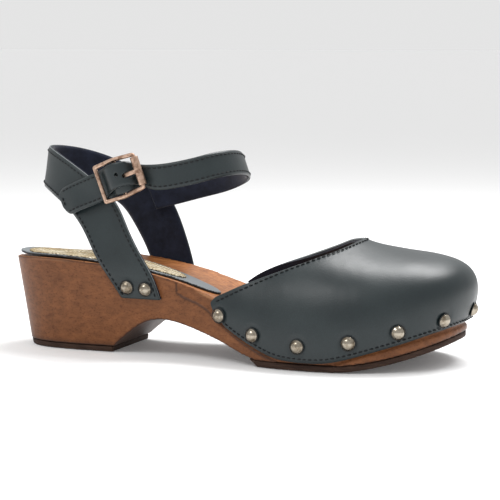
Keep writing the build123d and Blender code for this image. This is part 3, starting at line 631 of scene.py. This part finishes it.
leather = leather_material(
    "leather", (0.0055, 0.0115, 0.0135), (0.012, 0.0205, 0.0225), (0.36, 0.48)
)
# Paler grey for the sheets' rounded edges: the raw cut edge's own colour and a painted highlight
# where the edge catches the light.
cut_edge_and_highlight = leather_material(
    "leather_cut_edge_and_highlight", (0.12, 0.14, 0.145), (0.22, 0.24, 0.245), (0.6, 0.75)
)
suede = suede_material("suede", (0.005, 0.0065, 0.014), (0.014, 0.018, 0.036))
thread = material("thread", (0.004, 0.005, 0.006), 0.6, specular=0.3)[0]
wood = wood_material()
rubber = rubber_material()
nail_metal = metal_material("nail_metal", (0.36, 0.32, 0.26), (0.17, 0.135, 0.095), 0.16)
buckle_metal = metal_material("buckle_metal", (0.52, 0.36, 0.27), (0.24, 0.145, 0.10), 0.33)
sock_leather = leather_material(
    "sock_leather", (0.085, 0.10, 0.11), (0.18, 0.20, 0.21), (0.30, 0.42)
)
# Painted shade: near-black paint for the sock's sides and underside, the shade beneath its edge.
sock_side_shade = material("sock_side_shade", (0.02, 0.02, 0.022), 0.8)[0]
woven = weave_material()
# Painted shadow: near-black paint for the rings round the nail heads.
nail_shadow_paint = material("nail_seat", (0.002, 0.003, 0.003), 0.6)[0]


def dress(node, item):
    """Gives a CAD node that stays visible its material."""
    nodes[node].data.materials.clear()
    nodes[node].data.materials.append(item)


dress("buckle_tab", leather)


# ---- wood: softened edges, stained side, paler footbed, painted shade ----
def remeshed(node, name, size, smooth, materials):
    """Even mesh of a CAD node with softened edges."""
    copy = bpy.data.objects.new(name, nodes[node].data.copy())
    bpy.context.scene.collection.objects.link(copy)
    remesh = copy.modifiers.new("remesh", "REMESH")
    remesh.mode = "VOXEL"
    remesh.voxel_size = size
    soft = copy.modifiers.new("smooth", "SMOOTH")
    soft.factor = 0.5
    soft.iterations = smooth
    mesh = applied_mesh(copy)
    copy.data = mesh
    mesh.name = name
    mesh.materials.clear()
    for item in materials:
        mesh.materials.append(item)
    mesh.polygons.foreach_set("use_smooth", np.ones(len(mesh.polygons), bool))
    return copy


def vertices(thing):
    """Vertex positions and normals as arrays."""
    co = np.zeros(len(thing.data.vertices) * 3)
    thing.data.vertices.foreach_get("co", co)
    away = np.zeros_like(co)
    thing.data.vertices.foreach_get("normal", away)
    return co.reshape(-1, 3), away.reshape(-1, 3)


def place_vertices(thing, co):
    thing.data.vertices.foreach_set("co", co.ravel())
    thing.data.update()


def paint(thing, name, values):
    """Stores one value per point for the materials."""
    layer = thing.data.attributes.new(name, "FLOAT", "POINT")
    layer.data.foreach_set("value", values.astype(np.float32))


def smooth_step(value, low, high):
    t = np.clip((value - low) / (high - low), 0, 1)
    return t * t * (3 - 2 * t)


edge_curve = natural_spline([(height,) for height in EDGE_HEIGHT])


def footbed_height(x, y):
    """Height of the dished footbed, as in the CAD part."""
    edge = edge_curve((x - EDGE_START) / EDGE_STEP)[..., 0] - FOOTBED_TILT * y
    share = (1.0 + np.tanh((x - CUP_DEPTH_MIDDLE) / CUP_DEPTH_SPAN)) / 2.0
    depth = CUP_DEPTH_HEEL + (CUP_DEPTH_FRONT - CUP_DEPTH_HEEL) * share
    widen = 1.0 + np.tanh((x - CUP_WIDTH_MIDDLE) / CUP_WIDTH_SPAN)
    half_width = CUP_HALF_WIDTH_HEEL + CUP_HALF_WIDTH_GAIN * widen / 2.0
    return edge - depth * (1.0 - (y / half_width) ** 2)


# How far forward each shaded part of the wood goes.
STEP_SHADE_END = 150.0
SHANK_FRONT = 100.0
BARE_EDGE_FRONT = 66.0
HEEL_FRONT = 60.0


def shade_under_vamp(p, away):
    """Painted shade: a dark line along the step in the side that the vamp stands on."""
    path_x, path_z = zip(*REBATE_PATH)
    along = np.interp(p[:, 0], path_x, path_z)
    steep = np.interp(p[:, 0], path_x, np.gradient(path_z, path_x))
    to_step = np.abs(p[:, 2] - along) / np.sqrt(1.0 + steep**2)
    between = (p[:, 0] > path_x[0]) * (p[:, 0] < STEP_SHADE_END)
    on_side = smooth_step(np.abs(away[:, 1]), 0.3, 0.7) * between
    return (1.0 - smooth_step(to_step, 0.3, 0.9)) * on_side * 0.75


def shade_hollows(dark, p, away, above_top, top):
    """Adds painted shade on the heel breast and shank, along the bare edge's line and at the
    heel's foot.
    """
    faces_front = smooth_step(away[:, 0], 0.3, 0.6) * (p[:, 0] < SHANK_FRONT)
    breast = smooth_step(-away[:, 2], 0.15, 0.6) + faces_front
    dark = np.maximum(dark, np.clip(breast, 0, 1) * 0.94 * (1.0 - top))
    edge_line = smooth_step(above_top, -1.5, -0.9) * (1.0 - smooth_step(above_top, -0.5, -0.1))
    not_flat = 1.0 - smooth_step(away[:, 2], 0.75, 0.95)
    dark = np.maximum(dark, edge_line * (p[:, 0] < BARE_EDGE_FRONT) * 0.7 * not_flat)
    foot_line = 1.0 - smooth_step(p[:, 2], 3.2, 6.5)
    return np.maximum(dark, foot_line * (p[:, 0] < HEEL_FRONT) * 0.45)


sole = remeshed("wooden_sole", "sole", 0.0007, 2, [wood])
co, away = vertices(sole)
p = co / MM
above_top = -(footbed_height(p[:, 0], p[:, 1]) - p[:, 2])
top = smooth_step(above_top, -1.1, -0.6) * smooth_step(away[:, 2], 0.45, 0.75)
paint(sole, "top", top)
rim = smooth_step(above_top, -1.9, -1.0) * (1.0 - top) * 0.8
paint(sole, "rim", rim * smooth_step(noise_field(p, 24.0, 3), -0.3, 0.25))
# Painted shade: dark darkens the wood under the vamp, on the heel breast and shank, along the bare
# edge and at the heel's foot.
paint(sole, "dark", shade_hollows(shade_under_vamp(p, away), p, away, above_top, top))
grooves = noise_field(p * np.array([0.05, 1.0, 1.0]), 1.6, 8) * top * 0.05
waves = noise_field(p, 11.0, 5) * 0.05 - 0.04
place_vertices(sole, co + away * ((waves + grooves) * MM)[:, None])
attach(sole, "clog")
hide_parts("wooden_sole")


# ---- rubber: scuffed, with softened edges ----
for node, name in (("forefoot_tread", "tread_rubber"), ("heel_top_piece", "heel_rubber")):
    piece = remeshed(node, name, 0.0006, 2, [rubber])
    co, away = vertices(piece)
    scuffs = noise_field(co / MM, 5.0, 13) * 0.04 - 0.03
    place_vertices(piece, co + away * (scuffs * MM)[:, None])
    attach(piece, "clog")
    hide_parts(node)


# ---- buckle: cast metal with soft corners and small dents ----
BUCKLE_BODIES = (("buckle_frame", "frame"), ("buckle_prong", "prong"), ("buckle_roller", "roller"))
for node, body in BUCKLE_BODIES:
    piece = remeshed(node, node + "_metal", 0.00022, 3, [buckle_metal])
    co, away = vertices(piece)
    dents = noise_field(co / MM, 2.6, 17) * 0.035 - 0.03
    place_vertices(piece, co + away * (dents * MM)[:, None])
    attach(piece, body)
    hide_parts(node)


# ---- heel strap ----
heel_rows = [(rear, front) for front, rear in HEEL_STRAP]
heel = band_surface(heel_rows)
heel_last = len(HEEL_STRAP) - 1.0
heel_s = np.linspace(0.0, heel_last, 220)


def full_width(s):
    """Edge shares of a sheet that keeps its whole width."""
    return np.zeros_like(s), np.ones_like(s)


def strap_seats():
    """Nail seats on the heel strap found from the CAD nails' outermost points."""
    seats = []
    for i in range(1, 5):
        low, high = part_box(f"strap_nail_{i:02d}")
        x = (low.x + high.x) / 2 / MM
        z = (low.z + high.z) / 2 / MM
        outer = i < 3
        y = (low.y if outer else high.y) / MM
        first, last = (0, 1.5) if outer else (heel_last - 1.5, heel_last)
        s = np.linspace(first, last, 90)
        t = np.linspace(0, 1, 60)
        grid_s, grid_t = np.meshgrid(s, t, indexing="ij")
        p = heel(grid_s, grid_t)
        n = normals(heel, grid_s, grid_t, heel_last)
        crown = p + n * (LEATHER + NAIL_HEAD_HEIGHT)
        miss = np.linalg.norm(crown - np.array([x, y, z]), axis=-1)
        seats.append(p[np.unravel_index(np.argmin(miss), miss.shape)])
    return seats


heel_leather = leather_sheet(
    "heel_strap_leather", heel, heel_s, heel_last, 0.0, LEATHER, [leather, cut_edge_and_highlight], full_width,
    dents=strap_seats(), wrinkle=0.10, seed=11,
)
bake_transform(heel_leather)
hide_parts("heel_strap", "strap_foot_outer", "strap_foot_inner")
heel_lining = leather_sheet(
    "heel_strap_suede", heel, heel_s, heel_last, -LINING, -GAP, [suede, suede], full_width,
    wrinkle=0.10, seed=11,
)
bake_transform(heel_lining)
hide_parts("heel_strap_lining", "strap_foot_lining_outer", "strap_foot_lining_inner")


# ---- ankle strap ----
def buckle_point(u, v, w):
    """Point in the buckle's own directions: u along the strap, v across it, w outward."""
    return (
        BUCKLE_AT[0] + u * BUCKLE_COS - v * BUCKLE_SIN,
        BUCKLE_AT[1] - w,
        BUCKLE_AT[2] + u * BUCKLE_SIN + v * BUCKLE_COS,
    )


ankle_rows = list(TAIL)
ankle_rows += [
    (buckle_point(u, high, w), buckle_point(u, low, w)) for u, low, high, w in THREADED
]
ankle_rows += WRAP
ankle = band_surface(ankle_rows)
ankle_last = len(ankle_rows) - 1.0


def tail_shape(s):
    """Rounds the strap's tip, more on its lower corner."""
    share = np.clip(s / TAIL_TIP, 0.0, 1.0)
    curve = 1.0 - np.sqrt(np.clip(1.0 - (1.0 - share) ** 2.4, 0.0, 1.0))
    return curve * 0.42, 1.0 - curve * 0.20


tip_s = TAIL_TIP * (1.0 - np.cos(np.linspace(0, math.pi / 2, 26)))
ankle_s = np.concatenate([tip_s, np.linspace(TAIL_BODY, ankle_last, 300)])
ankle_leather = leather_sheet(
    "ankle_strap_leather", ankle, ankle_s, ankle_last, 0.0, LEATHER, [leather, cut_edge_and_highlight],
    tail_shape, wrinkle=0.07, seed=21,
)


CUTTER_DEPTH = 9


def cut_holes(thing, places):
    """Round or slotted holes through a sheet, each given by u, v, w, length and width."""
    c, s = BUCKLE_COS, BUCKLE_SIN
    turn = Matrix(((c, -s, 0, 0), (0, 0, -1, 0), (s, c, 0, 0), (0, 0, 0, 1)))
    for u, v, w, length, width in places:
        bm = bmesh.new()
        bmesh.ops.create_cone(
            bm, cap_ends=True, segments=32, radius1=0.5 * MM, radius2=0.5 * MM,
            depth=CUTTER_DEPTH * MM,
        )
        mesh = bpy.data.meshes.new("cutter")
        bm.to_mesh(mesh)
        bm.free()
        cutter = bpy.data.objects.new("cutter", mesh)
        bpy.context.scene.collection.objects.link(cutter)
        place = Matrix.Translation(Vector(buckle_point(u, v, w)) * MM)
        mesh.transform(place @ turn @ Matrix.Diagonal((length, width, 1, 1)))
        cut = thing.modifiers.new("cut", "BOOLEAN")
        cut.object = cutter
        cut.solver = "EXACT"
        thing.data = applied_mesh(thing)
        bpy.data.objects.remove(cutter)


cut_holes(ankle_leather, [SPARE_HOLE, PRONG_SLOT])
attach(ankle_leather, "straps")
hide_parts("ankle_strap")
lining_s = np.linspace(len(TAIL) + len(THREADED) + 0.3, ankle_last, 200)
ankle_lining = leather_sheet(
    "ankle_strap_suede", ankle, lining_s, ankle_last, -LINING, -GAP, [suede, suede], full_width,
    wrinkle=0.07, seed=21,
)
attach(ankle_lining, "straps")
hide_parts("ankle_strap_lining")

# An extra layer under the buckle, which follows the threaded strap.
underlay_rows = []
for u, _, _, w in THREADED[1:8]:
    lower_edge = -8.3 + 0.05 * abs(u)
    underlay_rows.append((buckle_point(u, -2.2, w - 0.1), buckle_point(u, lower_edge, w - 0.5)))
underlay = band_surface(underlay_rows)
underlay_last = len(underlay_rows) - 1.0
underlay_piece = leather_sheet(
    "buckle_underlay", underlay, np.linspace(0.0, underlay_last, 60), underlay_last, -1.2, -0.2,
    [leather, cut_edge_and_highlight], full_width, wrinkle=0.03, seed=23,
)
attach(underlay_piece, "straps")


# ---- vamp ----
vamp = vamp_surface()
vamp_last = len(VAMP_RIBS) - 1.0


def nail_seats(prefix, numbers):
    """Seat and axis of each nail from its CAD mesh: the dome is the wide end."""
    seats = []
    for i in numbers:
        data = nodes[f"{prefix}_{i:02d}"].data
        p = np.array([v.co for v in data.vertices]) / MM
        centre = p.mean(0)
        axis = np.linalg.svd(p - centre)[2][0]
        along = (p - centre) @ axis
        radius = np.linalg.norm(p - centre - along[:, None] * axis, axis=1)
        if along[radius > 2.5].mean() < 0:
            axis = -axis
            along = -along
        base = along[radius > 3.0].min() if (radius > 3.0).any() else 0.0
        seats.append((centre + axis * base, axis))
    return seats


vamp_seats = nail_seats("vamp_nail", range(1, 14))


def tip_shape(s):
    """Rounds the vamp's two rear tips."""
    near = np.minimum(s, vamp_last - s)
    share = np.clip(near / VAMP_TIP, 0.0, 1.0)
    curve = 1.0 - np.sqrt(np.clip(1.0 - (1.0 - share) ** 2, 0.0, 1.0))
    return curve * 0.30, 1.0 - curve * 0.34


tip = VAMP_TIP * (1.0 - np.cos(np.linspace(0, math.pi / 2, 16)))
vamp_body = np.linspace(VAMP_BODY, vamp_last - VAMP_BODY, 360)
vamp_s = np.concatenate([tip, vamp_body, (vamp_last - tip)[::-1]])
vamp_leather = leather_sheet(
    "vamp_leather_skin", vamp, vamp_s, vamp_last, -VAMP_LEATHER, 0.0, [leather, cut_edge_and_highlight],
    tip_shape, rows=VAMP_ROWS, dents=[seat for seat, _ in vamp_seats], wrinkle=0.10, sway=0.35,
    seed=31,
)
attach(vamp_leather, "clog")
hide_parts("vamp_leather")
dress("vamp_lining", suede)


# ---- stitching ----
def path_on(surface, s, t, depth, s_last):
    """Points a depth above a surface, with their outward directions."""
    p = surface(s, t)
    n = normals(surface, s, t, s_last)
    return p + n * depth, n


def line_along(surface, s, inset, upper, s_last, depth):
    """Points a fixed distance in from one edge of a surface."""
    edge = np.ones_like(s) if upper else np.zeros_like(s)
    probe = np.full_like(s, 0.96 if upper else 0.04)
    reach = np.linalg.norm(surface(s, edge) - surface(s, probe), axis=-1) / 0.04
    share = np.clip(inset / reach, 0.0, 0.45)
    return path_on(surface, s, 1.0 - share if upper else share, depth, s_last)


def add_stitches(name, path, out, body=None):
    """Stitches that ride on a body or, with none named, stay in place with their transform baked
    in.
    """
    run = stitch_run(name, path, out)
    if body:
        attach(run, body)
    else:
        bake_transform(run)


# The order of these rows sets the order of the random draws.
heel_line = np.linspace(0.1, heel_last - 0.1, 400)
tail_line = np.linspace(0.5, 3.6, 120)
wrap_line = np.linspace(len(TAIL) + len(THREADED) - 1.0, ankle_last - 0.1, 300)
vamp_line = np.linspace(0.4, vamp_last - 0.4, 700)
for side, upper in (("a", True), ("b", False)):
    path, out = line_along(heel, heel_line, 2.0, upper, heel_last, LEATHER)
    add_stitches(f"heel_stitch_{side}", path, out)
    path, out = line_along(ankle, tail_line, 1.8, upper, ankle_last, LEATHER)
    add_stitches(f"tail_stitch_{side}", path, out, "straps")
    path, out = line_along(ankle, wrap_line, 1.8, upper, ankle_last, LEATHER)
    add_stitches(f"wrap_stitch_{side}", path, out, "straps")
tip_t = np.linspace(0.34, 0.84, 40)
path, out = path_on(ankle, np.full(40, 0.34), tip_t, LEATHER, ankle_last)
add_stitches("tail_tip_stitch", path, out, "straps")
path, out = line_along(vamp, vamp_line, 2.2, True, vamp_last, 0.0)
add_stitches("vamp_topline_stitch", path, out, "clog")
path, out = line_along(vamp, vamp_line, 2.0, False, vamp_last, 0.0)
add_stitches("vamp_bottom_stitch", path, out, "clog")


# ---- nails: domed head with a thin rim, ringed by a painted shadow ----
# Radius and height, from the crown to the point of the shank.
NAIL_PROFILE = [
    (0.0, NAIL_HEAD_HEIGHT), (0.7, 2.25), (1.4, 2.06), (2.0, 1.76), (2.5, 1.36), (2.9, 0.90),
    (3.15, 0.50), (3.36, 0.34), (3.40, 0.18), (3.34, 0.02), (2.6, 0.0), (0.75, 0.0),
    (0.75, -10.6), (0.0, -11.8),
]
NAIL_SIDES = 48
# Size and place of the painted shadow ring round each nail head.
SHADOW_RING_RADIUS = 3.55
SHADOW_RING_HALF_WIDTH = 0.36
SHADOW_RING_HALF_HEIGHT = 0.22
SHADOW_RING_SINK = 0.05


def on_nail(seat, axis):
    """Function that turns a point in a nail's own directions (Z outward) into metres."""
    turn = Vector(axis).normalized().to_track_quat("Z", "Y").to_matrix()
    return lambda *local: (Vector(seat) + turn @ Vector(local)) * MM


def nail_head(name, seat, axis):
    """Turned nail: NAIL_PROFILE swept round its axis."""
    place = on_nail(seat, axis)
    last = len(NAIL_PROFILE) - 1
    points = []
    for r, h in NAIL_PROFILE[1:last]:
        for i in range(NAIL_SIDES):
            a = 2 * math.pi * i / NAIL_SIDES
            points.append(place(r * math.cos(a), r * math.sin(a), h))
    faces = ring_faces(last - 1, NAIL_SIDES)
    for end, ring in ((0, 0), (last, last - 2)):
        faces += fan_faces(ring, NAIL_SIDES, len(points), flip=end != 0)
        points.append(place(0.0, 0.0, NAIL_PROFILE[end][1]))
    return new_object(name, points, faces, [nail_metal])


def painted_shadow_ring(name, seat, axis):
    """Dark ring under a nail head: painted shadow where the leather is pressed in."""
    tube = 8
    place = on_nail(seat, axis)
    points = []
    faces = []
    for i in range(NAIL_SIDES):
        a = 2 * math.pi * i / NAIL_SIDES
        for j in range(tube):
            b = 2 * math.pi * j / tube
            r = SHADOW_RING_RADIUS + SHADOW_RING_HALF_WIDTH * math.cos(b)
            height = SHADOW_RING_HALF_HEIGHT * math.sin(b) - SHADOW_RING_SINK
            points.append(place(r * math.cos(a), r * math.sin(a), height))
            ahead = ((i + 1) % NAIL_SIDES) * tube
            up = (j + 1) % tube
            faces.append((i * tube + j, ahead + j, ahead + up, i * tube + up))
    return new_object(name, points, faces, [nail_shadow_paint])


strap_nail_seats = nail_seats("strap_nail", range(1, 5))
for prefix, seats in (("vamp_nail", vamp_seats), ("strap_nail", strap_nail_seats)):
    for i, (seat, axis) in enumerate(seats):
        label = f"{prefix}_{i + 1:02d}"
        head = nail_head(label + "_head", seat, axis)
        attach(head, "clog")
        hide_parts(label)
        # Painted shadow ring round the nail head.
        ring = painted_shadow_ring(label + "_seat", seat, axis)
        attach(ring, "clog")


# ---- sock and woven patch ----
sock = remeshed("insole_sock", "sock", 0.0005, 3, [sock_leather, sock_side_shade])
# The sock's sides and underside take the near-black painted shade.
side_normals = np.zeros(len(sock.data.polygons) * 3)
sock.data.polygons.foreach_get("normal", side_normals)
side_slots = (side_normals.reshape(-1, 3)[:, 2] < 0.35).astype(np.int32)
sock.data.polygons.foreach_set("material_index", side_slots)
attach(sock, "clog")
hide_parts("insole_sock")


def sock_height(x, y, lift):
    """Sock surface, as in the CAD part: on the footbed, with its back edge curling up."""
    curl = 2.6 * np.clip((-8.0 - x) / 24.0, 0.0, 1.0) ** 2
    side = 0.9 * np.clip((40.0 - x) / 60.0, 0.0, 1.0) * (np.abs(y) / 30.0) ** 3
    return footbed_height(x, y) + lift + curl + side


def closed_outline(points, count):
    """Evenly spaced points on a smooth closed curve."""
    wrapped = points[-4:] + points + points[:5]
    curve = natural_spline(wrapped)(np.linspace(4.0, 4.0 + len(points), 2000))
    steps = np.concatenate([[0.0], np.cumsum(np.linalg.norm(np.diff(curve, axis=0), axis=1))])
    spots = np.linspace(0, steps[-1], count + 1)[:-1]
    return np.stack([np.interp(spots, steps, curve[:, a]) for a in range(2)], -1)


def woven_patch():
    """Patch with a pinked edge and raised threads."""
    around = 520
    rings = 60
    teeth = 74
    edge = closed_outline(PATCH_OUTLINE, around)
    centre = edge.mean(0)
    tooth = np.abs((np.arange(around) * teeth / around) % 1.0 * 2.0 - 1.0)
    inward = centre - edge
    inward /= np.linalg.norm(inward, axis=1, keepdims=True)
    points = []
    for low in (False, True):
        lift = PATCH_LOW if low else PATCH_HIGH
        for k in range(rings, 0, -1) if low else range(1, rings + 1):
            share = k / rings
            flat = centre + (edge - centre) * share
            flat = flat + inward * (tooth * 1.5 * share**14)[:, None]
            x, y = flat[:, 0], flat[:, 1]
            height = sock_height(x, y, lift)
            if not low:
                threads = np.sin(x * 2 * math.pi / 1.9) * np.sin(y * 2 * math.pi / 1.5)
                height = height + (0.16 * threads - 0.2 * share**20)
            points += [tuple(v) for v in np.stack([x, y, height], -1)]
    total = 2 * rings
    faces = ring_faces(total, around)
    for ring, lift, flip in ((0, PATCH_HIGH, False), (total - 1, PATCH_LOW, True)):
        faces += fan_faces(ring, around, len(points), flip)
        points.append((*centre, float(sock_height(*centre, lift))))
    return new_object("patch", np.asarray(points) * MM, faces, [woven])


patch = woven_patch()
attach(patch, "clog")
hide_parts("woven_patch")


# ---- stage: the floor's faint glow makes it as bright as the world far away ----
FLOOR_SIZE = 40
FLOOR_GREY = (0.90, 0.90, 0.90)
FLOOR_GLOW = 0.078
WORLD_STRENGTH = 0.78
bpy.ops.mesh.primitive_plane_add(size=FLOOR_SIZE, location=(0.1, 0, -0.0003))
floor = bpy.context.object
floor.name = "floor"
floor_paint, floor_shader = material("floor", FLOOR_GREY, 0.7)
floor_shader.inputs["Emission Color"].default_value = (1.0, 1.0, 1.0, 1)
floor_shader.inputs["Emission Strength"].default_value = FLOOR_GLOW
floor.data.materials.append(floor_paint)

world = bpy.data.worlds.new("studio")
bpy.context.scene.world = world
world.use_nodes = True
sky = world.node_tree.nodes["Background"]
sky.inputs["Color"].default_value = (1.0, 1.0, 1.0, 1)
sky.inputs["Strength"].default_value = WORLD_STRENGTH
bpy.context.scene.view_settings.view_transform = "Standard"


def area_light(name, where, target, size, power):
    """Rectangular soft light aimed at a target."""
    data = bpy.data.lights.new(name, "AREA")
    data.shape = "RECTANGLE"
    data.size, data.size_y = size
    data.energy = power
    light = bpy.data.objects.new(name, data)
    bpy.context.scene.collection.objects.link(light)
    light.location = where
    aim = Vector(target) - Vector(where)
    light.rotation_euler = aim.to_track_quat("-Z", "Y").to_euler()


area_light("key", (-0.20, -0.60, 0.80), (0.10, 0, 0.04), (0.45, 0.35), 3.0)
area_light("top", (0.26, 0.32, 0.78), (0.16, 0, 0.05), (0.6, 0.4), 9.0)

# ---- camera: one metre from the target ----
AZIMUTH = math.radians(20.0)
ELEVATION = math.radians(6.3)
TARGET = Vector((0.0963, 0.0, 0.0529))
SENSOR_WIDTH = 36
LENS = 140.1
back = Vector(
    (
        math.sin(AZIMUTH) * math.cos(ELEVATION),
        -math.cos(AZIMUTH) * math.cos(ELEVATION),
        math.sin(ELEVATION),
    )
)
camera = bpy.data.objects.new("camera", bpy.data.cameras.new("camera"))
bpy.context.scene.collection.objects.link(camera)
camera.location = TARGET + back
right = Vector((math.cos(AZIMUTH), math.sin(AZIMUTH), 0))
up = back.cross(right)
camera.matrix_world = Matrix(
    (
        (right.x, up.x, back.x, camera.location.x),
        (right.y, up.y, back.y, camera.location.y),
        (right.z, up.z, back.z, camera.location.z),
        (0, 0, 0, 1),
    )
)
camera.data.sensor_width = SENSOR_WIDTH
camera.data.lens = LENS
bpy.context.scene.camera = camera
